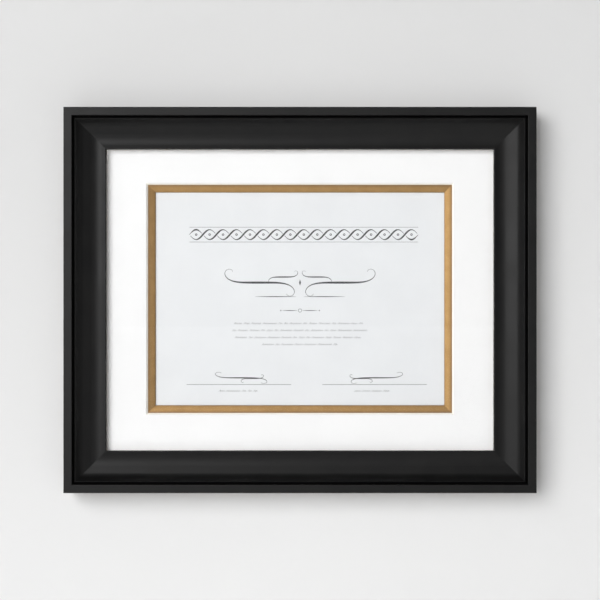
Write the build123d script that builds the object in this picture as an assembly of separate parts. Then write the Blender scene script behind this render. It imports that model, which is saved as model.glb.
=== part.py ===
from build123d import *
import os
from math import asin, atan, cos, degrees, radians, sin, sqrt, tan

# A certificate frame that hangs on a wall, in millimetres.
# The front faces -Y, +Z is up, and the wall is the plane y = 0. The origin is the point on the wall
# straight behind the middle notch of the landscape hanger.
# Pieces are first made about the middle of the sight opening, with the rails' back at y = 0.

# Boards, cut to a standard frame size, and how they sit in the rabbet
BOARD_W = 355.6
BOARD_H = 279.4
BOARD_PLAY = 0.8
SIGHT_LAP = 6.35

# Thickness of each layer, from the lip to the back
GLASS_T = 2.0
MAT_T = 1.5
FILLET_T = 3.2
PAPER_T = 0.3
MOUNT_T = 1.5
PANEL_T = 2.5
PANEL_RECESS = 0.2

# Rail moulding, from the sight edge outward: a lip that rises to the sight edge, a scoop with a round
# valley, a straight slope, a cove and a steep flank, then a V-shaped quirk and a flat outer band
LIP_W = 3.6
LIP_TILT = 16.0
LIP_T = 3.2
VALLEY_W = 9.6
SLOPE_W = 6.2
SLOPE_TILT = 19.0
COVE_W = 3.6
FLANK_W = 2.9
FLANK_TILT = 52.0
QUIRK_W = 2.5
QUIRK_D = 2.8
BAND_W = 7.5
BAND_RISE = 2.2
ARRIS_R = 0.8
CREST_R = 0.25
BAND_EDGE_R = 0.6
NOSE_R = 0.7

# Certificate sheet, how far the gold fillet covers its edges, and the fillet's own shape
PAPER_W = 279.4
PAPER_H = 215.9
COVER_X = 11.1
COVER_Z = 13.1
SHEET_PLAY = 0.85
WINDOW_RISE = 1.0
FILLET_FACE = 6.6
FILLET_NOSE_H = 1.1
FILLET_NOSE_R = 0.4
FILLET_CROWN = 0.4
FILLET_TUCK = 0.8
SPACER_PLAY = 0.5

# V-nails across the mitres
NAIL_LEG = 7.0
NAIL_GAUGE = 0.6
NAIL_DEPTH = 8.0
NAIL_INSET = 8.0

# Turn buttons, and the screws that they turn on
BUTTON_INSET = 64.0
BUTTON_SETBACK = 12.0
BUTTON_REACH = 22.0
BUTTON_R = 6.5
BUTTON_TIP_R = 4.0
BUTTON_T = 1.0
BUTTON_PLAY = 0.1
PIVOT_PLAY = 0.08
SCREW_R = 1.7
SCREW_HEAD_R = 3.4
SCREW_HEAD_H = 1.9
SCREW_DEPTH = 12.0
SCREW_POINT = 3.0
DRIVE_L = 3.6
DRIVE_W = 0.7
DRIVE_D = 0.9
PILOT_PLAY = 0.05

# Sawtooth hangers, and the nails that hold them
HANGER_L = 56.0
HANGER_H = 10.0
HANGER_GAUGE = 0.8
HANGER_CORNER_R = 1.5
BRIDGE_L = 36.0
BRIDGE_STAND = 2.0
BRIDGE_BEND = 45.0
TOOTH_PITCH = 4.0
TOOTH_D = 2.2
TACK_W = 1.3
TACK_TIP_W = 0.3
TACK_HEAD_R = 1.9
TACK_HEAD_H = 0.7
TACK_DEPTH = 9.0

# Rubber bumpers on the back corners
BUMPER_R = 6.0
BUMPER_T = 3.5
BUMPER_INSET = 48.0

# Sizes that follow
SCOOP_W = LIP_W + VALLEY_W + SLOPE_W + COVE_W + FLANK_W
RAIL_W = SCOOP_W + QUIRK_W + BAND_W
RABBET_W = SIGHT_LAP + BOARD_PLAY
RABBET_D = PANEL_RECESS + PANEL_T + MOUNT_T + PAPER_T + FILLET_T + MAT_T + GLASS_T
SIGHT_W = BOARD_W - 2 * SIGHT_LAP
SIGHT_H = BOARD_H - 2 * SIGHT_LAP
BACK_MID = (RABBET_W + RAIL_W) / 2
PIVOT_U = RABBET_W + BUTTON_SETBACK
NOTCH_U = BACK_MID - HANGER_H / 2 + TOOTH_D
SHOWN_W = PAPER_W - 2 * COVER_X
SHOWN_H = PAPER_H - 2 * COVER_Z
FILLET_W = max(COVER_X, COVER_Z) + SHEET_PLAY
WINDOW_W = SHOWN_W + 2 * FILLET_FACE
WINDOW_H = SHOWN_H + 2 * FILLET_FACE
ORIGIN = Pos(0, -BUMPER_T, -(SIGHT_H / 2 + NOTCH_U))

# Each side's turn about Y, and the plane of an outline of (outward, forward) points
ANGLES = {"top": 0, "right": 90, "bottom": 180, "left": 270}
SECTION = Plane((0, 0, 0), x_dir=(0, 0, 1), z_dir=(1, 0, 0))


def opening_sides(width, height):
    """Name, angle, length and distance of each side of a rectangular opening."""
    for name, angle in ANGLES.items():
        across = name in ("top", "bottom")
        yield name, angle, width if across else height, (height if across else width) / 2


def corners_near(face, *points):
    """The corners of a flat outline that lie nearest to the given points."""
    return [face.vertices().sort_by_distance(point)[0] for point in points]


def mitred(section, length, reach):
    """A strip along X from an outline of (outward, forward) points, cut at 45 degrees at both ends."""
    strip = extrude(SECTION * section, amount=length / 2 + reach, both=True)
    for end in (1, -1):
        cut = Plane((end * length / 2, 0, 0), x_dir=(0, 1, 0), z_dir=(end, 0, -1))
        strip = split(strip, bisect_by=cut, keep=Keep.BOTTOM)
    return strip


def on_side(angle, distance, shape):
    """A shape made on the top side of an opening, turned to another side and moved out to it."""
    return Rot(0, angle, 0) * Pos(0, 0, distance) * shape


def slab(width, height, level, thickness, rise=0.0):
    """A flat board whose back lies the given distance in front of the rails' back."""
    return Pos(0, -level - thickness / 2, rise) * Box(width, thickness, height)


def rail_section():
    """The moulding's outline, from the sight edge outward, with the rabbet cut from its back."""
    band_u = RAIL_W - BAND_W
    lip, slope, flank = radians(LIP_TILT), radians(SLOPE_TILT), radians(FLANK_TILT)
    valley_r = VALLEY_W / (sin(slope) + sin(lip))
    cove_r = COVE_W / (sin(flank) - sin(slope))

    valley_floor = RABBET_D + LIP_T
    lip_end = valley_floor + valley_r * (1 - cos(lip))
    sight_edge = lip_end + LIP_W * tan(lip)
    rise = Line((0, sight_edge), (LIP_W, lip_end))
    valley = JernArc(rise @ 1, rise % 1, valley_r, LIP_TILT + SLOPE_TILT)
    incline = Line(valley @ 1, (valley @ 1) + (valley % 1) * (SLOPE_W / cos(slope)))
    hollow = JernArc(incline @ 1, incline % 1, cove_r, FLANK_TILT - SLOPE_TILT)
    crest = (hollow @ 1).Y + FLANK_W * tan(flank)
    front = crest + BAND_RISE
    rest = Polyline(
        hollow @ 1,
        (SCOOP_W, crest),
        (band_u, crest - QUIRK_D),
        (band_u, front),
        (RAIL_W, front),
        (RAIL_W, 0),
        (RABBET_W, 0),
        (RABBET_W, RABBET_D),
        (0, RABBET_D),
        rise @ 0,
    )
    outline = make_face([rise, valley, incline, hollow, rest])
    outline = fillet(corners_near(outline, (RAIL_W, front), (RAIL_W, 0)), ARRIS_R)
    outline = fillet(corners_near(outline, (band_u, front)), BAND_EDGE_R)
    outline = fillet(corners_near(outline, (SCOOP_W, crest)), CREST_R)
    return fillet(corners_near(outline, (0, sight_edge)), NOSE_R)


def fillet_section():
    """The gold strip's outline: a crowned face that slopes to a rounded nose, and a lap under the mat."""
    back = PANEL_RECESS + PANEL_T + MOUNT_T + PAPER_T
    nose = (0, back + FILLET_NOSE_H)
    tuck = (FILLET_FACE + FILLET_TUCK, back + FILLET_T)
    face = SagittaArc(nose, tuck, FILLET_CROWN)
    rest = Polyline(tuck, (FILLET_W, back + FILLET_T), (FILLET_W, back), (0, back), nose)
    return fillet(corners_near(make_face([face, rest]), nose), FILLET_NOSE_R)


def v_nails():
    """Two V-nails at each corner, with their points on the mitre and their legs in the two rails."""
    outline = make_face(
        Polyline(
            (0, 0),
            (NAIL_LEG, 0),
            (NAIL_LEG, NAIL_GAUGE),
            (NAIL_GAUGE, NAIL_GAUGE),
            (NAIL_GAUGE, NAIL_LEG),
            (0, NAIL_LEG),
            close=True,
        )
    )
    nail = extrude(Plane.XZ * outline, amount=NAIL_DEPTH)
    nails = []
    for along_x in (1, -1):
        for along_z in (1, -1):
            for u in (RABBET_W + NAIL_INSET, RAIL_W - NAIL_INSET - NAIL_LEG / 2):
                one = Pos(SIGHT_W / 2 + u, 0, SIGHT_H / 2 + u) * nail
                if along_x < 0:
                    one = mirror(one, Plane.YZ)
                if along_z < 0:
                    one = mirror(one, Plane.XY)
                nails.append(one)
    return nails


def turn_button():
    """A flat steel button about its pivot, with its tip towards the opening."""
    taper = degrees(asin((BUTTON_R - BUTTON_TIP_R) / BUTTON_REACH))
    base = CenterArc((0, 0), BUTTON_R, 180 - taper, 180 + 2 * taper)
    tip = CenterArc((0, BUTTON_REACH), BUTTON_TIP_R, taper, 180 - 2 * taper)
    outline = make_face([base, Line(base @ 1, tip @ 0), tip, Line(tip @ 1, base @ 0)])
    outline -= Circle(SCREW_R + PIVOT_PLAY)
    plate = Pos(0, BUTTON_PLAY, 0) * extrude(Plane.XZ * outline, amount=-BUTTON_T)
    return Rot(0, 180, 0) * plate


def pan_screw():
    """A pointed screw with a pan head and a cross recess, about its axis along Y."""
    seat = BUTTON_PLAY + BUTTON_T + BUTTON_PLAY
    top = seat + SCREW_HEAD_H
    outline = make_face(
        Polyline(
            (0, -SCREW_DEPTH),
            (SCREW_R, -SCREW_DEPTH + SCREW_POINT),
            (SCREW_R, seat),
            (SCREW_HEAD_R, seat),
            (SCREW_HEAD_R, top),
            (0, top),
            close=True,
        )
    )
    screw = revolve(outline, Axis.Y)
    recess = Box(DRIVE_L, 2 * DRIVE_D, DRIVE_W) + Box(DRIVE_W, 2 * DRIVE_D, DRIVE_L)
    return screw - Pos(0, top, 0) * recess


def hanger():
    """A sawtooth hanger about its middle notch: flat ends on the rail and a raised, toothed bridge."""
    end, half = HANGER_L / 2, BRIDGE_L / 2
    inner = half - HANGER_GAUGE * tan(radians(BRIDGE_BEND / 2))
    ramp = BRIDGE_STAND / tan(radians(BRIDGE_BEND))
    crown = BRIDGE_STAND + HANGER_GAUGE
    through = 2 * crown
    side = [
        (half, crown),
        (half + ramp, HANGER_GAUGE),
        (end, HANGER_GAUGE),
        (end, 0),
        (inner + ramp, 0),
        (inner, BRIDGE_STAND),
    ]
    strip = make_face(Polyline(*side, *[(-x, y) for x, y in reversed(side)], close=True))
    middle = HANGER_H / 2 - TOOTH_D
    plate = Pos(0, 0, middle + HANGER_H / 2) * extrude(strip, amount=-HANGER_H)
    plate = fillet(plate.edges().filter_by(Axis.Y).group_by(Axis.X)[0], HANGER_CORNER_R)
    plate = fillet(plate.edges().filter_by(Axis.Y).group_by(Axis.X)[-1], HANGER_CORNER_R)
    steps = int((half - TOOTH_PITCH) / TOOTH_PITCH)
    notch = make_face(
        Polyline((-TOOTH_PITCH / 2, -TOOTH_D), (0, 0), (TOOTH_PITCH / 2, -TOOTH_D), close=True)
    )
    notch = extrude(Plane.XZ * notch, amount=through, both=True)
    for step in range(-steps, steps + 1):
        plate -= Pos(step * TOOTH_PITCH, 0, 0) * notch
    hole = Rot(90, 0, 0) * Cylinder(TACK_W / sqrt(2) + PILOT_PLAY, through)
    for place in tack_places():
        plate -= place * hole
    return plate


def tack_places():
    """Where the two nails stand on a hanger, in the middle of its flat ends."""
    ramp = BRIDGE_STAND / tan(radians(BRIDGE_BEND))
    along = (HANGER_L / 2 + BRIDGE_L / 2 + ramp) / 2
    rise = HANGER_H / 2 - TOOTH_D
    return [Pos(sign * along, 0, rise) for sign in (-1, 1)]


def tack_blade(play=0.0):
    """The square blade of a tack, tapered to a blunt point along Y, with some play all round."""
    length = HANGER_GAUGE + TACK_DEPTH
    slope = degrees(atan((TACK_W - TACK_TIP_W) / 2 / length))
    side = TACK_W + 2 * play
    under_head = Plane.XZ.offset(-HANGER_GAUGE) * Rectangle(side, side)
    return extrude(under_head, amount=length + play, taper=slope)


def tack():
    """A cut tack through a hanger's end: a square blade under a round, flat head."""
    head = Rot(90, 0, 0) * Cylinder(TACK_HEAD_R, TACK_HEAD_H)
    return Pos(0, HANGER_GAUGE + TACK_HEAD_H / 2, 0) * head + tack_blade()


def bumper():
    """A round rubber pad on the rails' back."""
    return Pos(0, BUMPER_T / 2, 0) * Rot(90, 0, 0) * Cylinder(BUMPER_R, BUMPER_T)


def screw_pilot():
    """A drilled hole into the rails' back for a screw."""
    depth = SCREW_DEPTH + PILOT_PLAY
    return Pos(0, -depth / 2, 0) * Rot(90, 0, 0) * Cylinder(SCREW_R + PILOT_PLAY, depth)


def button_places():
    """Node name, side angle and place on the rail of each turn button."""
    for name, angle, length, distance in opening_sides(SIGHT_W, SIGHT_H):
        along = length / 2 + SIGHT_LAP - BUTTON_INSET
        for sign in (1, -1):
            spot = on_side(angle, distance + PIVOT_U, Pos(sign * along, 0, 0))
            x, _, z = spot.position
            if name in ("top", "bottom"):
                end = "right" if x > 0 else "left"
            else:
                end = "upper" if z > 0 else "lower"
            yield f"turn_button_{name}_{end}", spot


def hanger_places():
    """Node name and place of each hanger: on the top rail and on the left rail."""
    for name, angle, _, distance in opening_sides(SIGHT_W, SIGHT_H):
        if name in ("top", "left"):
            node = "hanger_landscape" if name == "top" else "hanger_portrait"
            yield node, on_side(angle, distance + NOTCH_U, Pos(0, 0, 0))


def make_rails(nails):
    """The four mitred rails, with slots for the V-nails and holes for the screws and nails."""
    section = rail_section()
    holes = [spot * screw_pilot() for _, spot in button_places()]
    for _, spot in hanger_places():
        holes += [spot * place * tack_blade(PILOT_PLAY) for place in tack_places()]
    rails = {}
    for name, angle, length, distance in opening_sides(SIGHT_W, SIGHT_H):
        rail = on_side(angle, distance, mitred(section, length, RAIL_W))
        rails[f"rail_{name}"] = rail - nails - holes
    return rails


def make_package():
    """The layers in the rabbet, from the back panel forward to the glazing."""
    nodes = {}
    level = PANEL_RECESS
    nodes["back_panel"] = slab(BOARD_W, BOARD_H, level, PANEL_T)
    level += PANEL_T
    nodes["mount_board"] = slab(BOARD_W, BOARD_H, level, MOUNT_T)
    level += MOUNT_T
    nodes["certificate"] = slab(PAPER_W, PAPER_H, level, PAPER_T, WINDOW_RISE)

    for name, angle, length, distance in opening_sides(SHOWN_W, SHOWN_H):
        strip = mitred(fillet_section(), length, FILLET_W)
        nodes[f"fillet_{name}"] = Pos(0, 0, WINDOW_RISE) * on_side(angle, distance, strip)

    spacer_t = PAPER_T + FILLET_T
    hole_w = SHOWN_W + 2 * (FILLET_W + SPACER_PLAY)
    hole_h = SHOWN_H + 2 * (FILLET_W + SPACER_PLAY)
    for name, sign in (("top", 1), ("bottom", -1)):
        edge = WINDOW_RISE + sign * hole_h / 2
        height = BOARD_H / 2 - sign * edge
        middle = (edge + sign * BOARD_H / 2) / 2
        nodes[f"spacer_{name}"] = slab(BOARD_W, height, level, spacer_t, middle)
    for name, sign in (("left", -1), ("right", 1)):
        width = (BOARD_W - hole_w) / 2
        strip = slab(width, hole_h, level, spacer_t, WINDOW_RISE)
        nodes[f"spacer_{name}"] = Pos(sign * (hole_w + width) / 2, 0, 0) * strip
    level += spacer_t

    # The mat's window, bevelled at 45 degrees, from well behind the mat to well in front of it
    ends = []
    for height in (-MAT_T, 2 * MAT_T):
        end = Rectangle(WINDOW_W + 2 * height, WINDOW_H + 2 * height)
        ends.append(Plane.XZ.offset(level + height) * Pos(0, WINDOW_RISE) * end)
    nodes["mat_board"] = slab(BOARD_W, BOARD_H, level, MAT_T) - loft(ends, ruled=True)
    level += MAT_T
    nodes["glazing"] = slab(BOARD_W, BOARD_H, level, GLASS_T)
    return nodes


def make_back():
    """The turn buttons, screws, hangers, nails and bumpers on the rails' back."""
    button, screw, plate, nail, pad = turn_button(), pan_screw(), hanger(), tack(), bumper()
    nodes = {name: spot * button for name, spot in button_places()}
    nodes["turn_button_screws"] = [spot * screw for _, spot in button_places()]
    nodes["hanger_nails"] = []
    for name, spot in hanger_places():
        nodes[name] = spot * plate
        nodes["hanger_nails"] += [spot * place * nail for place in tack_places()]
    for across, sign_x in (("left", -1), ("right", 1)):
        for level, sign_z in (("top", 1), ("bottom", -1)):
            x = sign_x * (SIGHT_W / 2 + RAIL_W - BUMPER_INSET)
            z = sign_z * (SIGHT_H / 2 + BACK_MID)
            nodes[f"bumper_{level}_{across}"] = Pos(x, 0, z) * pad
    return nodes


def main():
    nails = v_nails()
    nodes = {**make_rails(nails), "corner_v_nails": nails, **make_package(), **make_back()}
    os.makedirs("parts", exist_ok=True)
    for name, shape in nodes.items():
        if isinstance(shape, list):
            shape = Compound([solid for one in shape for solid in one.solids()])
        export_step(ORIGIN * shape, f"parts/{name}.step")


main()
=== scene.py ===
import math
import random

import bmesh
import bpy
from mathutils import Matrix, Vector


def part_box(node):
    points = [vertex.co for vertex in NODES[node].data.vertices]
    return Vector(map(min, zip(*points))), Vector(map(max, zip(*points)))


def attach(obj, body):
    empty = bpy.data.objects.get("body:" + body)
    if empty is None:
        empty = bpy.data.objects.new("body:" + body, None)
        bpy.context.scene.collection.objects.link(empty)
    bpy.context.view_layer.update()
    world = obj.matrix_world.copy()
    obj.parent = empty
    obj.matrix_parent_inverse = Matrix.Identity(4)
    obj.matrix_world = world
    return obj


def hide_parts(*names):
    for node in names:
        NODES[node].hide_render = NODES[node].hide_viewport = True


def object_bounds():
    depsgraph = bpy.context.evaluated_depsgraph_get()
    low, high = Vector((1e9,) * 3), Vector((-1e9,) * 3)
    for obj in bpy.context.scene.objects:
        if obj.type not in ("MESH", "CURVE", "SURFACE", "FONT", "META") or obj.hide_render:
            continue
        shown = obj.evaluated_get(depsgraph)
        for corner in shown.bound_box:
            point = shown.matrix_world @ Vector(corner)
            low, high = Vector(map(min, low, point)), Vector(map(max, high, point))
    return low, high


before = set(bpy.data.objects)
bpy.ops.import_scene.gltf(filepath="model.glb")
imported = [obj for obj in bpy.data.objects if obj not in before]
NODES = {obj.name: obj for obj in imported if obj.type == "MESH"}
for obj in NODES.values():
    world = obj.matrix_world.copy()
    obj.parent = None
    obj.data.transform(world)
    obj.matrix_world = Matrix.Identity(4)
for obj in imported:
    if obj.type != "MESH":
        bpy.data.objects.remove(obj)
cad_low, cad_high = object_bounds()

# Places in the frame, in metres
MM = 0.001
BODY = "frame"
SIDES = ("top", "bottom", "left", "right")
MIDDLE = (cad_low + cad_high) / 2
OUTER_HALF = (cad_high - cad_low) / 2
SHEET_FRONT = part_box("certificate")[0].y
SHEET_MIDDLE = (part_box("certificate")[0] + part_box("certificate")[1]) / 2
SHOWN_HALF_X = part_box("fillet_right")[0].x
SHOWN_HALF_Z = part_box("fillet_top")[0].z - SHEET_MIDDLE.z

# Camera, straight in front of the frame
CAMERA_DISTANCE = 1.2
LENS = 80.2
SENSOR = 36.0

# Light, in degrees and watts: a large soft lamp at the left, a weaker one behind the wall, a pale room
LAMP_DISTANCE = 5.0
LAMP_SIZE = 3.25
KEY_LEFT = 28.0
KEY_UP = 16.0
KEY_POWER = 190.0
BACK_LEFT = 150.0
BACK_UP = 35.0
BACK_POWER = 140.0
ROOM_FRONT = 0.54
ROOM_FRONT_FOCUS = 3.0
ROOM_SIDE = 0.10
ROOM_BACK = 0.75
ROOM_LEFT = 0.2
ROOM_RIGHT = -0.05

# Stage: a wall behind the frame, a floor under it, and a backdrop at each side
WALL_GAP = 0.5 * MM
WALL_SIZE = 8.0
WALL_LAP = 12.0 * MM
FLOOR_SIZE = 60.0
FLOOR_DROP = 0.45
FLOOR_GLOW = 0.4
BACKDROP_FAR = 12.0
BACKDROP_SIZE = 10.0
BACKDROP_TONE = 0.6

# Glass pane, rubber pads and ink
PANE_CLEAR = 0.05 * MM
PANE_SEAM = 0.3 * MM
PAD_EDGE_SHARE = 0.45
PAD_EDGE_STEPS = 8
PAD_STEPS = 48
INK_T = 0.03 * MM
SEED = 7

# Colours, as linear red, green and blue; of two in a row, the first is the darker end of a range
LACQUER = (0.0034, 0.0034, 0.0036), (0.0050, 0.0049, 0.0048)
BARE_WOOD = (0.36, 0.22, 0.11), (0.62, 0.44, 0.25)
WOOD_PORE = (0.24, 0.14, 0.07)
WOOD_SEAM = (0.10, 0.055, 0.025)
GOLD = (0.355, 0.205, 0.068), (0.405, 0.241, 0.086)
# Painted shade of the mat's edge on the gold, also used to darken the gold's nose
GOLD_SHADE_AND_NOSE = (0.19, 0.11, 0.045)
MAT_FACE = (0.93, 0.93, 0.93), (0.945, 0.945, 0.945)
MAT_CORE = (0.965, 0.945, 0.90)
PAPER = (0.815, 0.83, 0.846), (0.835, 0.85, 0.865)
FOAM = (0.74, 0.74, 0.73), (0.80, 0.80, 0.79)
MOUNT_BOARD = (0.66, 0.64, 0.58), (0.73, 0.71, 0.66)
HARDBOARD = (0.185, 0.104, 0.053), (0.215, 0.124, 0.064)
HARDBOARD_FIBRE = (0.30, 0.185, 0.10)
HARDBOARD_FLECK = (0.075, 0.04, 0.022)
ZINC = (0.50, 0.50, 0.49), (0.64, 0.64, 0.62)
SCREW_STEEL = (0.36, 0.34, 0.30), (0.47, 0.45, 0.41)
BRASS = (0.60, 0.41, 0.15), (0.74, 0.53, 0.22)
NAIL_STEEL = (0.36, 0.36, 0.37), (0.48, 0.48, 0.49)
RUBBER = (0.012, 0.012, 0.012), (0.03, 0.029, 0.028)
INK = (0.028, 0.029, 0.032), (0.06, 0.061, 0.064)
# Wall paint; its range carries a painted gradient of light, paler downwards and darker at the left
WALL = (0.715, 0.715, 0.715), (0.855, 0.855, 0.855)
# A painted shadow on the wall, dark where the frame covers it
WALL_PAINTED_SHADOW = (0.14, 0.15, 0.165)
FLOOR = (0.76, 0.76, 0.755), (0.80, 0.80, 0.795)

# Values for nodes: the usual span of a noise pattern, a mix node's sockets for colours, and white
NOISE_LOW, NOISE_HIGH = 0.3, 0.7
MIX_SHARE, MIX_FIRST, MIX_SECOND, MIX_RESULT = 0, 6, 7, 2
WHITE = (1, 1, 1, 1)


class Nodes:
    """A node tree, with short ways to add nodes and to join them."""

    def __init__(self, tree):
        self.tree = tree
        tree.nodes.clear()

    def add(self, kind, inputs=None, **settings):
        made = self.tree.nodes.new(kind)
        for name, value in settings.items():
            setattr(made, name, value)
        for name, value in (inputs or {}).items():
            if isinstance(value, bpy.types.NodeSocket):
                self.tree.links.new(value, made.inputs[name])
            else:
                made.inputs[name].default_value = value
        return made

    def place(self, stretch=(1, 1, 1)):
        """Object coordinates in metres, stretched along each axis."""
        coords = self.add("ShaderNodeTexCoord").outputs["Object"]
        return self.add("ShaderNodeMapping", {"Vector": coords, "Scale": stretch}).outputs[0]

    def axes(self, vector):
        return self.add("ShaderNodeSeparateXYZ", {0: vector}).outputs

    def noise(self, scale, stretch=(1, 1, 1), detail=3.0, roughness=0.55):
        place = self.place(stretch)
        inputs = {"Vector": place, "Scale": scale, "Detail": detail, "Roughness": roughness}
        return self.add("ShaderNodeTexNoise", inputs).outputs[0]

    def math(self, operation, first, second=0.0):
        return self.add("ShaderNodeMath", {0: first, 1: second}, operation=operation).outputs[0]

    def span(self, value, low, high, to_low=0.0, to_high=1.0, kind="SMOOTHSTEP"):
        """A value between two limits, carried smoothly to two others."""
        inputs = {"Value": value, "From Min": low, "From Max": high, "To Min": to_low, "To Max": to_high}
        return self.add("ShaderNodeMapRange", inputs, interpolation_type=kind).outputs[0]

    def line(self, value, low, high, to_low, to_high):
        """A value between two limits, carried evenly to two others."""
        return self.span(value, low, high, to_low, to_high, "LINEAR")

    def vary(self, pattern, to_low=0.0, to_high=1.0):
        """A noise pattern, carried from its usual span to two limits."""
        return self.span(pattern, NOISE_LOW, NOISE_HIGH, to_low, to_high)

    def past(self, half_x, half_z, middle_z):
        """How far a point lies past the sides, and past the ends, of an upright rectangle."""
        x, _, z = self.axes(self.place())
        past_x = self.math("SUBTRACT", self.math("ABSOLUTE", x), half_x)
        past_z = self.math("SUBTRACT", self.math("ABSOLUTE", self.math("SUBTRACT", z, middle_z)), half_z)
        return past_x, past_z

    def facing(self):
        """How squarely the surface faces the wall: 1 on the back, -1 on the front."""
        return self.axes(self.add("ShaderNodeTexCoord").outputs["Normal"])[1]

    def blend(self, share, first, second):
        """A colour between two others."""
        inputs = {MIX_SHARE: share}
        for socket, colour in ((MIX_FIRST, first), (MIX_SECOND, second)):
            inputs[socket] = colour if isinstance(colour, bpy.types.NodeSocket) else (*colour, 1)
        return self.add("ShaderNodeMix", inputs, data_type="RGBA").outputs[MIX_RESULT]

    def seen(self):
        """1 where the camera looks, straight or by way of a mirror or a pane, and 0 for other light."""
        path = self.add("ShaderNodeLightPath").outputs
        straight = self.math("MAXIMUM", path["Is Camera Ray"], path["Is Glossy Ray"])
        return self.math("MAXIMUM", straight, path["Is Transmission Ray"])

    def bump(self, height, depth, strength):
        inputs = {"Height": height, "Distance": depth, "Strength": strength}
        return self.add("ShaderNodeBump", inputs).outputs[0]

    def finish(self, shader, output="ShaderNodeOutputMaterial"):
        self.add(output, {"Surface": shader.outputs[0]})

    def surface(self, inputs):
        """Ends a material with the common shader."""
        self.finish(self.add("ShaderNodeBsdfPrincipled", inputs))


def material(name):
    made = bpy.data.materials.new(name)
    made.use_nodes = True
    return made, Nodes(made.node_tree)


def along(axis, stretch):
    """Scales that draw a pattern out along one axis."""
    scales = [1.0, 1.0, 1.0]
    scales["xyz".index(axis)] = stretch
    return tuple(scales)


# Materials of the frame


def bare_wood(n, axis, seam):
    """The colour of pale wood with fine pores, which is darker along the joined mitres."""
    seam_edge, seam_core = 0.6 * MM, 0.15 * MM
    figure = n.noise(95.0, along(axis, 0.06), detail=5.0, roughness=0.62)
    pores = n.noise(900.0, along(axis, 0.02), detail=2.0, roughness=0.5)
    wood = n.blend(n.span(figure, 0.32, 0.68), *BARE_WOOD)
    wood = n.blend(n.span(pores, 0.58, 0.75, 0.0, 0.35), wood, WOOD_PORE)
    return n.blend(n.span(seam, seam_edge, seam_core, 0.0, 0.75), wood, WOOD_SEAM)


def rail_lacquer(axis):
    """Black satin lacquer with a trace of grain, and bare pale wood on the back."""
    made, n = material(f"rail_lacquer_{axis}")
    spray_full, spray_none = 1.4 * MM, -2.4 * MM
    past_x, past_z = n.past(OUTER_HALF.x, OUTER_HALF.z, MIDDLE.z)
    drift = n.math("MULTIPLY", n.noise(60.0), 1.2 * MM)
    speckle = n.math("MULTIPLY", n.noise(1300.0), 3.0 * MM)
    spray = n.math("ADD", n.math("MAXIMUM", past_x, past_z), n.math("ADD", drift, speckle))
    on_back = n.span(n.facing(), 0.5, 0.8)
    bare = n.math("MULTIPLY", on_back, n.span(spray, spray_full, spray_none))

    cloud = n.noise(35.0)
    lacquer = n.blend(n.vary(cloud), *LACQUER)
    seam = n.math("ABSOLUTE", n.math("SUBTRACT", past_x, past_z))
    smooth = n.span(cloud, 0.25, 0.75, 0.38, 0.46)
    grain = n.noise(420.0, along(axis, 0.03), detail=4.0, roughness=0.6)
    peel = n.noise(650.0, detail=1.0)
    height = n.math("ADD", n.math("MULTIPLY", grain, 0.7), n.math("MULTIPLY", peel, 0.5))
    n.surface({
        "Base Color": n.blend(bare, lacquer, bare_wood(n, axis, seam)),
        "Roughness": n.math("ADD", smooth, n.math("MULTIPLY", bare, 0.35)),
        "Specular IOR Level": 0.21,
        "Normal": n.bump(height, depth=0.02 * MM, strength=0.35),
    })
    return made


def fillet_gold(axis):
    """Antique gold leaf, burnished along the strip; painted shade darkens it by the mat, where the mat's
    edge shades it, and it is darker at its nose.
    """
    made, n = material(f"fillet_gold_{axis}")
    mat_from, mat_full = 3.4 * MM, 7.4 * MM
    nose_from, nose_full = 1.6 * MM, 0.4 * MM
    brushed = n.noise(1500.0, along(axis, 0.03), roughness=0.6)
    mottle = n.noise(110.0, detail=4.0)
    from_nose = n.math("MAXIMUM", *n.past(SHOWN_HALF_X, SHOWN_HALF_Z, SHEET_MIDDLE.z))
    uneven = n.math("MULTIPLY", n.noise(500.0, along(axis, 0.2)), 0.8 * MM)
    from_nose = n.math("ADD", from_nose, uneven)
    # Painted shade, darker towards the mat's edge that shades the strip; the nose is made darker too
    mat_shade = n.span(from_nose, mat_from, mat_full)
    at_nose = n.span(from_nose, nose_from, nose_full, 0.0, 0.6)
    shade_and_nose = n.math("MULTIPLY", n.math("MAXIMUM", mat_shade, at_nose), 0.8)
    n.surface({
        "Base Color": n.blend(shade_and_nose, n.blend(n.vary(mottle), *GOLD), GOLD_SHADE_AND_NOSE),
        "Metallic": 0.7,
        "Roughness": n.span(brushed, 0.2, 0.8, 0.48, 0.62),
        "Normal": n.bump(brushed, depth=0.012 * MM, strength=0.5),
    })
    return made


def mat_white():
    """White mat board with a fine tooth, and a brighter core on the window's bevel."""
    made, n = material("mat_white")
    tooth = n.noise(2600.0, detail=2.0)
    face = n.blend(n.vary(n.noise(18.0)), *MAT_FACE)
    n.surface({
        "Base Color": n.blend(n.span(n.facing(), -0.95, -0.8), face, MAT_CORE),
        "Roughness": n.vary(tooth, 0.85, 0.95),
        "Specular IOR Level": 0.2,
        "Normal": n.bump(tooth, depth=0.02 * MM, strength=0.4),
    })
    return made


def certificate_paper():
    """Cool white wove paper with fine fibres."""
    made, n = material("certificate_paper")
    fibre = n.noise(1100.0, along("z", 0.35), detail=4.0, roughness=0.65)
    n.surface({
        "Base Color": n.blend(n.vary(n.noise(28.0)), *PAPER),
        "Roughness": n.vary(fibre, 0.78, 0.92),
        "Specular IOR Level": 0.25,
        "Normal": n.bump(fibre, depth=0.02 * MM, strength=0.3),
    })
    return made


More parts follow.
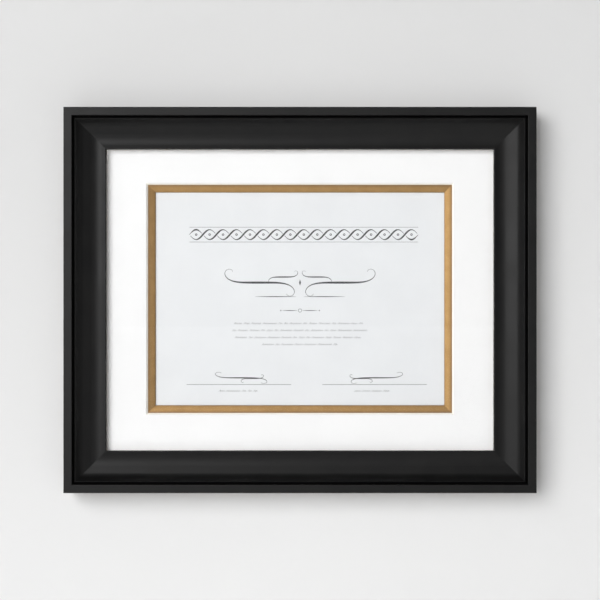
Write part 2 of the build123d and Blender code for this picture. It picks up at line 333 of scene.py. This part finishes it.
def glass():
    """Clear picture glass: light goes straight through, and the surface mirrors a little."""
    made, n = material("glass")
    clear = n.add("ShaderNodeBsdfTransparent", {"Color": WHITE})
    mirror = n.add("ShaderNodeBsdfGlossy", {"Color": WHITE, "Roughness": 0.02})
    outside = n.math("SUBTRACT", 1.0, n.add("ShaderNodeNewGeometry").outputs["Backfacing"])
    share = n.math("MULTIPLY", n.add("ShaderNodeFresnel", {"IOR": 1.45}).outputs[0], outside)
    n.finish(n.add("ShaderNodeMixShader", {0: share, 1: clear.outputs[0], 2: mirror.outputs[0]}))
    return made


def pale_board(name, dark, light):
    """Plain board or foam, with a slight cloud and a dry surface."""
    made, n = material(name)
    grit = n.noise(1400.0, detail=2.0)
    n.surface({
        "Base Color": n.blend(n.vary(n.noise(60.0)), dark, light),
        "Roughness": n.vary(grit, 0.8, 0.95),
        "Normal": n.bump(grit, depth=0.03 * MM, strength=0.4),
    })
    return made


def hardboard():
    """Brown hardboard: pressed fibres with darker flecks and a slight sheen."""
    made, n = material("hardboard")
    cloud = n.noise(22.0, detail=5.0)
    fibre = n.noise(800.0, along("z", 0.5), detail=5.0, roughness=0.7)
    fleck = n.noise(1500.0, along("x", 0.5), detail=2.0)
    colour = n.blend(n.vary(cloud), *HARDBOARD)
    colour = n.blend(n.span(fibre, 0.45, 0.7, 0.0, 0.6), colour, HARDBOARD_FIBRE)
    n.surface({
        "Base Color": n.blend(n.span(fleck, 0.6, 0.75, 0.0, 0.7), colour, HARDBOARD_FLECK),
        "Roughness": n.vary(fibre, 0.5, 0.68),
        "Normal": n.bump(fibre, depth=0.04 * MM, strength=0.5),
    })
    return made


def plated(name, dark, light, rough):
    """Plated steel with a faint cloud and fine scratches from the tumbler."""
    made, n = material(name)
    scratch_rough = rough + 0.14
    scratch = n.noise(2500.0, along("z", 0.08), detail=2.0)
    n.surface({
        "Base Color": n.blend(n.vary(n.noise(300.0)), dark, light),
        "Metallic": 1.0,
        "Roughness": n.vary(scratch, rough, scratch_rough),
        "Normal": n.bump(scratch, depth=0.01 * MM, strength=0.4),
    })
    return made


def rubber():
    """Black rubber with a dry, slightly dusty skin."""
    made, n = material("bumper_rubber")
    grit = n.noise(1800.0, detail=2.0)
    n.surface({
        "Base Color": n.blend(n.vary(n.noise(240.0)), *RUBBER),
        "Roughness": n.vary(grit, 0.62, 0.8),
        "Normal": n.bump(grit, depth=0.05 * MM, strength=0.5),
    })
    return made


def ink():
    """Raised charcoal ink, slightly uneven."""
    made, n = material("print_ink")
    n.surface({
        "Base Color": n.blend(n.vary(n.noise(400.0)), *INK),
        "Roughness": n.vary(n.noise(900.0), 0.5, 0.65),
    })
    return made


def dress(name, made):
    """Gives a CAD node its material."""
    slots = NODES[name].data.materials
    slots.clear()
    slots.append(made)


def dress_nodes():
    for axis, sides in (("x", SIDES[:2]), ("z", SIDES[2:])):
        lacquer, gold = rail_lacquer(axis), fillet_gold(axis)
        for side in sides:
            dress(f"rail_{side}", lacquer)
            dress(f"fillet_{side}", gold)
    foam = pale_board("spacer_foam", *FOAM)
    for side in SIDES:
        dress(f"spacer_{side}", foam)
    dress("mat_board", mat_white())
    dress("certificate", certificate_paper())
    dress("mount_board", pale_board("mount_board", *MOUNT_BOARD))
    dress("back_panel", hardboard())
    zinc = plated("button_steel", *ZINC, rough=0.30)
    for name in NODES:
        if name.startswith("turn_button_") and name != "turn_button_screws":
            dress(name, zinc)
    dress("turn_button_screws", plated("screw_steel", *SCREW_STEEL, rough=0.22))
    brass = plated("hanger_brass", *BRASS, rough=0.27)
    dress("hanger_landscape", brass)
    dress("hanger_portrait", brass)
    nail = plated("nail_steel", *NAIL_STEEL, rough=0.34)
    dress("hanger_nails", nail)
    dress("corner_v_nails", nail)


# Pieces


def piece(name, shape, made, slot, *stands_for):
    """A mesh object from a bmesh, riding on the frame."""
    bmesh.ops.recalc_face_normals(shape, faces=shape.faces)
    mesh = bpy.data.meshes.new(name)
    shape.to_mesh(mesh)
    shape.free()
    mesh.materials.append(made)
    obj = bpy.data.objects.new(name, mesh)
    bpy.context.scene.collection.objects.link(obj)
    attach(obj, BODY)
    if stands_for:
        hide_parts(*stands_for)
    return obj


def glass_pane():
    """A cut pane with seamed edges, a hair clear of the mat, in place of the plain one."""
    low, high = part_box("glazing")
    clear = Vector((PANE_CLEAR, PANE_CLEAR, PANE_CLEAR))
    size, middle = high - low - 2 * clear, (low + high) / 2
    shape = bmesh.new()
    bmesh.ops.create_cube(shape, size=1.0)
    bmesh.ops.scale(shape, vec=size, verts=shape.verts)
    bmesh.ops.translate(shape, vec=middle, verts=shape.verts)
    edges = shape.edges[:]
    bmesh.ops.bevel(shape, geom=edges, offset=PANE_SEAM, segments=2, profile=0.5, affect="EDGES")
    piece("pane", shape, glass(), "glass", "glazing")


def pad_side(radius, foot, top):
    """(reach, y) points along a pad's side and round its soft edge."""
    edge = PAD_EDGE_SHARE * (top - foot)
    line = [(radius, foot)]
    for step in range(PAD_EDGE_STEPS + 1):
        turn = math.pi / 2 * step / PAD_EDGE_STEPS
        line.append((radius - edge * (1 - math.cos(turn)), top - edge * (1 - math.sin(turn))))
    return line


def turned(line, x, z):
    """A round solid: (reach, y) points turned about an axis at x and z, closed at both ends."""
    shape = bmesh.new()
    rings = []
    for reach, y in line:
        ring = []
        for step in range(PAD_STEPS):
            turn = 2 * math.pi * step / PAD_STEPS
            ring.append(shape.verts.new((x + reach * math.cos(turn), y, z + reach * math.sin(turn))))
        rings.append(ring)
    for first, second in zip(rings, rings[1:]):
        for step in range(PAD_STEPS):
            after = (step + 1) % PAD_STEPS
            shape.faces.new((first[step], first[after], second[after], second[step]))
    shape.faces.new(rings[0])
    shape.faces.new(rings[-1])
    return shape


def bumper_pads():
    """Round rubber pads with a soft edge, in place of the plain ones."""
    made = rubber()
    for level in ("top", "bottom"):
        for side in ("left", "right"):
            node = f"bumper_{level}_{side}"
            low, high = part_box(node)
            middle = (low + high) / 2
            shape = turned(pad_side((high.x - low.x) / 2, low.y, high.y), middle.x, middle.z)
            pad = piece(f"pad_{level}_{side}", shape, made, "bumper_rubber", node)
            for face in pad.data.polygons:
                face.use_smooth = len(face.vertices) == 4


# Printing on the sheet, in millimetres about its middle


def stroke(shape, line, closed=False):
    """A flat stroke of ink along (x, z, half width) points."""
    count = len(line)
    under, over = SHEET_FRONT, SHEET_FRONT - INK_T
    rings = []
    for i, (x, z, half) in enumerate(line):
        before = line[(i - 1) % count] if closed or i else line[i]
        after = line[(i + 1) % count] if closed or i < count - 1 else line[i]
        run = Vector((after[0] - before[0], after[1] - before[1])).normalized() * half
        ring = []
        for sign, y in ((1, under), (1, over), (-1, over), (-1, under)):
            spot_x = SHEET_MIDDLE.x + (x - sign * run.y) * MM
            spot_z = SHEET_MIDDLE.z + (z + sign * run.x) * MM
            ring.append(shape.verts.new((spot_x, y, spot_z)))
        rings.append(ring)
    pairs = list(zip(rings, rings[1:] + rings[:1]))
    for first, second in pairs if closed else pairs[:-1]:
        for i in range(4):
            shape.faces.new((first[i], first[(i + 1) % 4], second[(i + 1) % 4], second[i]))
    if not closed:
        shape.faces.new(rings[0])
        shape.faces.new(rings[-1])


def rule(x0, x1, z, half):
    """A straight rule of even width, as points for a stroke."""
    return [(x0, z, half), (x1, z, half)]


def swelled(x0, x1, z, thick):
    """A straight rule that swells in its middle, as points for a stroke."""
    thin, steps = 0.06, 24
    shares = [step / steps for step in range(steps + 1)]
    return [(x0 + (x1 - x0) * s, z, thin + (thick - thin) * math.sin(math.pi * s)) for s in shares]


def loop(x, z, radius, half):
    """A ring, as points for a closed stroke."""
    steps = 24
    turns = [2 * math.pi * step / steps for step in range(steps)]
    return [(x + radius * math.cos(t), z + radius * math.sin(t), half) for t in turns]


def scroll(width, height):
    """An S-shaped scroll that winds up at both ends, fitted to a width and a height about its middle."""
    turn, power, steps = 4.6, 4.0, 160
    last = turn ** (1 / power)
    x = z = 0.0
    arm = [(0.0, 0.0)]
    for step in range(steps):
        s = last * (step + 0.5) / steps
        x += math.cos(s ** power) * last / steps
        z += math.sin(s ** power) * last / steps
        arm.append((x, z))
    points = [(-a, -b) for a, b in reversed(arm[1:])] + arm
    wide = max(a for a, _ in points)
    tall = max(b for _, b in points)
    return [(a * width / wide / 2, b * height / tall / 2) for a, b in points]


def pen(shape, points, x, z, thin, thick, mirror=1):
    """A stroke along points moved into place, with a pen's swell in its middle."""
    last = len(points) - 1
    line = []
    for i, (a, b) in enumerate(points):
        swell = math.sin(math.pi * i / last) ** 2
        line.append((x + mirror * a, z + b, thin + (thick - thin) * swell))
    stroke(shape, line)


def scribble(shape, rand, x0, x1, level):
    """Words of even pen waves, of uneven length, from one place to another along a row."""
    wave, slant, half, steps = 1.75, 0.45, 0.10, 8
    first_tall, other_tall, word_gap = 1.6, 1.25, 0.9
    x = x0
    while x < x1 - 2 * wave:
        waves = min(rand.randint(2, 7), int((x1 - x) / wave))
        line = []
        for step in range(waves * steps + 1):
            rise = 0.5 - 0.5 * math.cos(2 * math.pi * step / steps)
            tall = other_tall if step // steps else first_tall
            line.append((x + wave * step / steps + slant * tall * rise, level + tall * rise, half))
        stroke(shape, line)
        x += wave * (waves + word_gap)


def print_heading(made):
    """A plain braid of two swelled pen strokes with a small ring in each eye, between fine rules."""
    length, middle, level = 204.0, 3.4, 57.3
    eyes, tall, gap, samples = 17, 4.4, 0.9, 40
    rule_off = 6.6
    eye = length / eyes
    start_x = middle - length / 2
    shape = bmesh.new()
    for strand, first in ((1, -1), (-1, 0)):
        for start in range(first, eyes, 2):
            low, high = max(start * eye + gap, 0.0), min((start + 2) * eye - gap, length)
            points = []
            for step in range(samples + 1):
                x = low + (high - low) * step / samples
                points.append((x, strand * tall * math.sin(math.pi * x / eye)))
            pen(shape, points, start_x, level, thin=0.2, thick=0.75)
    for i in range(eyes):
        stroke(shape, loop(start_x + (i + 0.5) * eye, level, radius=0.75, half=0.3), closed=True)
    for side in (1, -1):
        stroke(shape, rule(start_x, start_x + length, level + side * rule_off, half=0.14))
    piece("print_heading", shape, made, "certificate_paper")


def print_flourish(made):
    """A symmetrical pair of pen scrolls about a small lozenge, over swelled rules."""
    level, large_x, small_x, small_up = 14.5, 36.0, 15.0, 5.0
    rule_down, rule_in, rule_out = 12.5, 3.4, 40.0
    tip, tip_half, waist_half = 2.6, 0.08, 0.9
    large, small = scroll(width=62.0, height=24.0), scroll(width=26.0, height=11.0)
    shape = bmesh.new()
    for mirror in (1, -1):
        pen(shape, large, large_x * mirror, level, thin=0.12, thick=0.95, mirror=mirror)
        pen(shape, small, small_x * mirror, level + small_up, thin=0.10, thick=0.6, mirror=-mirror)
        stroke(shape, swelled(rule_in * mirror, rule_out * mirror, level - rule_down, thick=0.35))
    stroke(shape, [(0, level - tip, tip_half), (0, level, waist_half), (0, level + tip, tip_half)])
    piece("print_flourish", shape, made, "certificate_paper")


def print_divider(made):
    """A ring between two small swelled rules, each with a tiny ring at its outer end."""
    level, ring_half = -10.4, 0.16
    rule_in, rule_out, end_x = 2.4, 15.6, 17.2
    shape = bmesh.new()
    for mirror in (1, -1):
        stroke(shape, swelled(rule_in * mirror, rule_out * mirror, level, thick=0.3))
        stroke(shape, loop(end_x * mirror, level, radius=0.4, half=ring_half), closed=True)
    stroke(shape, loop(0.0, level, radius=1.5, half=ring_half), closed=True)
    piece("print_divider", shape, made, "certificate_paper")


def print_text(made):
    """Four rows of pen waves, where a certificate has its wording."""
    rows = ((-22.6, 59.0), (-28.8, 60.5), (-35.1, 58.0), (-41.3, 34.0))
    shape = bmesh.new()
    rand = random.Random(SEED)
    for level, half in rows:
        scribble(shape, rand, -half, half, level)
    piece("print_text", shape, made, "certificate_paper")


def print_signing(made):
    """Two rules to sign on, with a pen flourish over each and a short caption of pen waves under it."""
    centre, apart = 6.0, 60.5
    rule_level, rule_half = -76.4, 46.5
    large_level, large_right = -70.4, 2.0
    small_level, small_in = -71.0, 12.0
    caption_level, caption_half = -82.8, 18.0
    large, small = scroll(width=46.0, height=10.0), scroll(width=20.0, height=7.0)
    shape = bmesh.new()
    rand = random.Random(SEED + 1)
    for mirror in (1, -1):
        x = centre + apart * mirror
        stroke(shape, rule(x - rule_half, x + rule_half, rule_level, half=0.16))
        pen(shape, large, x + large_right, large_level, thin=0.12, thick=0.52, mirror=mirror)
        pen(shape, small, x - small_in * mirror, small_level, thin=0.12, thick=0.4, mirror=-mirror)
        scribble(shape, rand, x - caption_half, x + caption_half, caption_level)
    piece("print_signing", shape, made, "certificate_paper")


def print_sheet():
    made = ink()
    for part in (print_heading, print_flourish, print_divider, print_text, print_signing):
        part(made)


# Stage, light and camera


def stage_plane(name, corners, faces, made):
    mesh = bpy.data.meshes.new(name)
    mesh.from_pydata(corners, [], faces)
    mesh.materials.append(made)
    obj = bpy.data.objects.new(name, mesh)
    bpy.context.scene.collection.objects.link(obj)


def wall_paint():
    """Grey paint with a painted gradient of light, paler downwards and darker at the left, and a painted
    shadow, dark behind the frame; from behind, light goes through it.
    """
    made, n = material("wall_paint")
    upper, lower, left, left_dim = 0.12, -0.42, -0.3, 0.3
    behind_from, behind_full = 2.0 * MM, -3.0 * MM
    x, _, z = n.axes(n.place())
    # Painted gradient of light and shade: the paint is paler downwards and darker towards the left
    paler = n.math("SUBTRACT", n.line(z, upper, lower, 0.0, 1.0), n.line(x, left, 0.0, left_dim, 0.0))
    paler = n.math("ADD", paler, n.math("MULTIPLY", n.noise(1.2), 0.1))
    # Painted shadow: the paint goes dark where the frame covers the wall, fading out just past its
    # outline
    outside = n.math("MAXIMUM", *n.past(OUTER_HALF.x, OUTER_HALF.z, MIDDLE.z))
    behind = n.span(outside, behind_from, behind_full)
    colour = n.blend(behind, n.blend(paler, *WALL), WALL_PAINTED_SHADOW)
    from_front = n.math("SUBTRACT", 1.0, n.add("ShaderNodeNewGeometry").outputs["Backfacing"])
    share = n.math("MULTIPLY", n.seen(), from_front)
    clear = n.add("ShaderNodeBsdfTransparent")
    paint = n.add("ShaderNodeBsdfDiffuse", {"Color": colour})
    n.finish(n.add("ShaderNodeMixShader", {0: share, 1: clear.outputs[0], 2: paint.outputs[0]}))
    return made


def floor_paint():
    """Pale grey paint that takes shadows, and looks a little lighter than the light on it."""
    made, n = material("floor_paint")
    colour = n.blend(n.vary(n.noise(0.8)), *FLOOR)
    strength = n.math("MULTIPLY", n.seen(), FLOOR_GLOW)
    paint = n.add("ShaderNodeBsdfDiffuse", {"Color": colour})
    glow = n.add("ShaderNodeEmission", {"Color": colour, "Strength": strength})
    n.finish(n.add("ShaderNodeAddShader", {0: paint.outputs[0], 1: glow.outputs[0]}))
    return made


def backdrop_paint():
    """A pale grey that shows, also in gloss, and lets other light through."""
    made, n = material("backdrop_paint")
    _, _, z = n.axes(n.place())
    tone = n.line(z, 0.0, BACKDROP_SIZE, BACKDROP_TONE, 1.0)
    clear = n.add("ShaderNodeBsdfTransparent")
    glow = n.add("ShaderNodeEmission", {"Color": WHITE, "Strength": tone})
    n.finish(n.add("ShaderNodeMixShader", {0: n.seen(), 1: clear.outputs[0], 2: glow.outputs[0]}))
    return made


def build_stage():
    """A floor, backdrops at the sides, and a wall left open behind the frame, where light comes in."""
    turns = ((-1, -1), (1, -1), (1, 1), (-1, 1))
    half = WALL_SIZE / 2
    wall = [(half * a, WALL_GAP, half * b) for a, b in turns]
    open_x, open_z = OUTER_HALF.x - WALL_LAP, OUTER_HALF.z - WALL_LAP
    wall += [(MIDDLE.x + a * open_x, WALL_GAP, MIDDLE.z + b * open_z) for a, b in turns]
    stage_plane("wall", wall, [(i, (i + 1) % 4, 4 + (i + 1) % 4, 4 + i) for i in range(4)], wall_paint())
    half, level = FLOOR_SIZE / 2, cad_low.z - FLOOR_DROP
    stage_plane("floor", [(half * a, half * b, level) for a, b in turns], [(0, 1, 2, 3)], floor_paint())
    half, paint = BACKDROP_SIZE / 2, backdrop_paint()
    for name, side in (("backdrop_left", -1), ("backdrop_right", 1)):
        corners = [(side * BACKDROP_FAR, half * a, level + half * (b + 1)) for a, b in turns]
        stage_plane(name, corners, [(0, 1, 2, 3)], paint)


def lamp(name, towards, power):
    """A square lamp that stands off in one direction and shines at the middle of the frame."""
    data = bpy.data.lights.new(name, "AREA")
    data.size = LAMP_SIZE
    data.energy = power
    obj = bpy.data.objects.new(name, data)
    obj.location = MIDDLE + LAMP_DISTANCE * towards
    obj.rotation_mode = "QUATERNION"
    obj.rotation_quaternion = (-towards).to_track_quat("-Z", "Y")
    bpy.context.scene.collection.objects.link(obj)


def aim(left, up):
    """The direction from the frame to a place that many degrees left of straight ahead and up."""
    left, up = math.radians(left), math.radians(up)
    return Vector((-math.sin(left) * math.cos(up), -math.cos(left) * math.cos(up), math.sin(up)))


def build_light():
    lamp("key", aim(KEY_LEFT, KEY_UP), KEY_POWER)
    lamp("back_fill", aim(BACK_LEFT, BACK_UP), BACK_POWER)
    world = bpy.data.worlds.new("room")
    world.use_nodes = True
    bpy.context.scene.world = world
    n = Nodes(world.node_tree)
    x, y, _ = n.axes(n.add("ShaderNodeTexCoord").outputs["Generated"])
    ahead = n.math("POWER", n.line(y, -1.0, 0.0, 1.0, 0.0), ROOM_FRONT_FOCUS)
    level = n.math("ADD", n.math("MULTIPLY", ahead, ROOM_FRONT - ROOM_SIDE), ROOM_SIDE)
    level = n.math("ADD", level, n.line(y, 0.0, 1.0, 0.0, ROOM_BACK - ROOM_SIDE))
    level = n.math("ADD", level, n.line(x, -1.0, 0.0, ROOM_LEFT, 0.0))
    level = n.math("ADD", level, n.line(x, 0.0, 1.0, 0.0, ROOM_RIGHT))
    room = n.add("ShaderNodeBackground", {"Color": WHITE, "Strength": level})
    n.finish(room, "ShaderNodeOutputWorld")


def build_camera():
    data = bpy.data.cameras.new("camera")
    data.lens = LENS
    data.sensor_fit = "HORIZONTAL"
    data.sensor_width = SENSOR
    obj = bpy.data.objects.new("camera", data)
    obj.location = (MIDDLE.x, -CAMERA_DISTANCE, MIDDLE.z)
    obj.rotation_euler = (math.pi / 2, 0, 0)
    bpy.context.scene.collection.objects.link(obj)
    bpy.context.scene.camera = obj


dress_nodes()
glass_pane()
bumper_pads()
print_sheet()
build_stage()
build_light()
build_camera()
bpy.context.scene.view_settings.view_transform = "Standard"
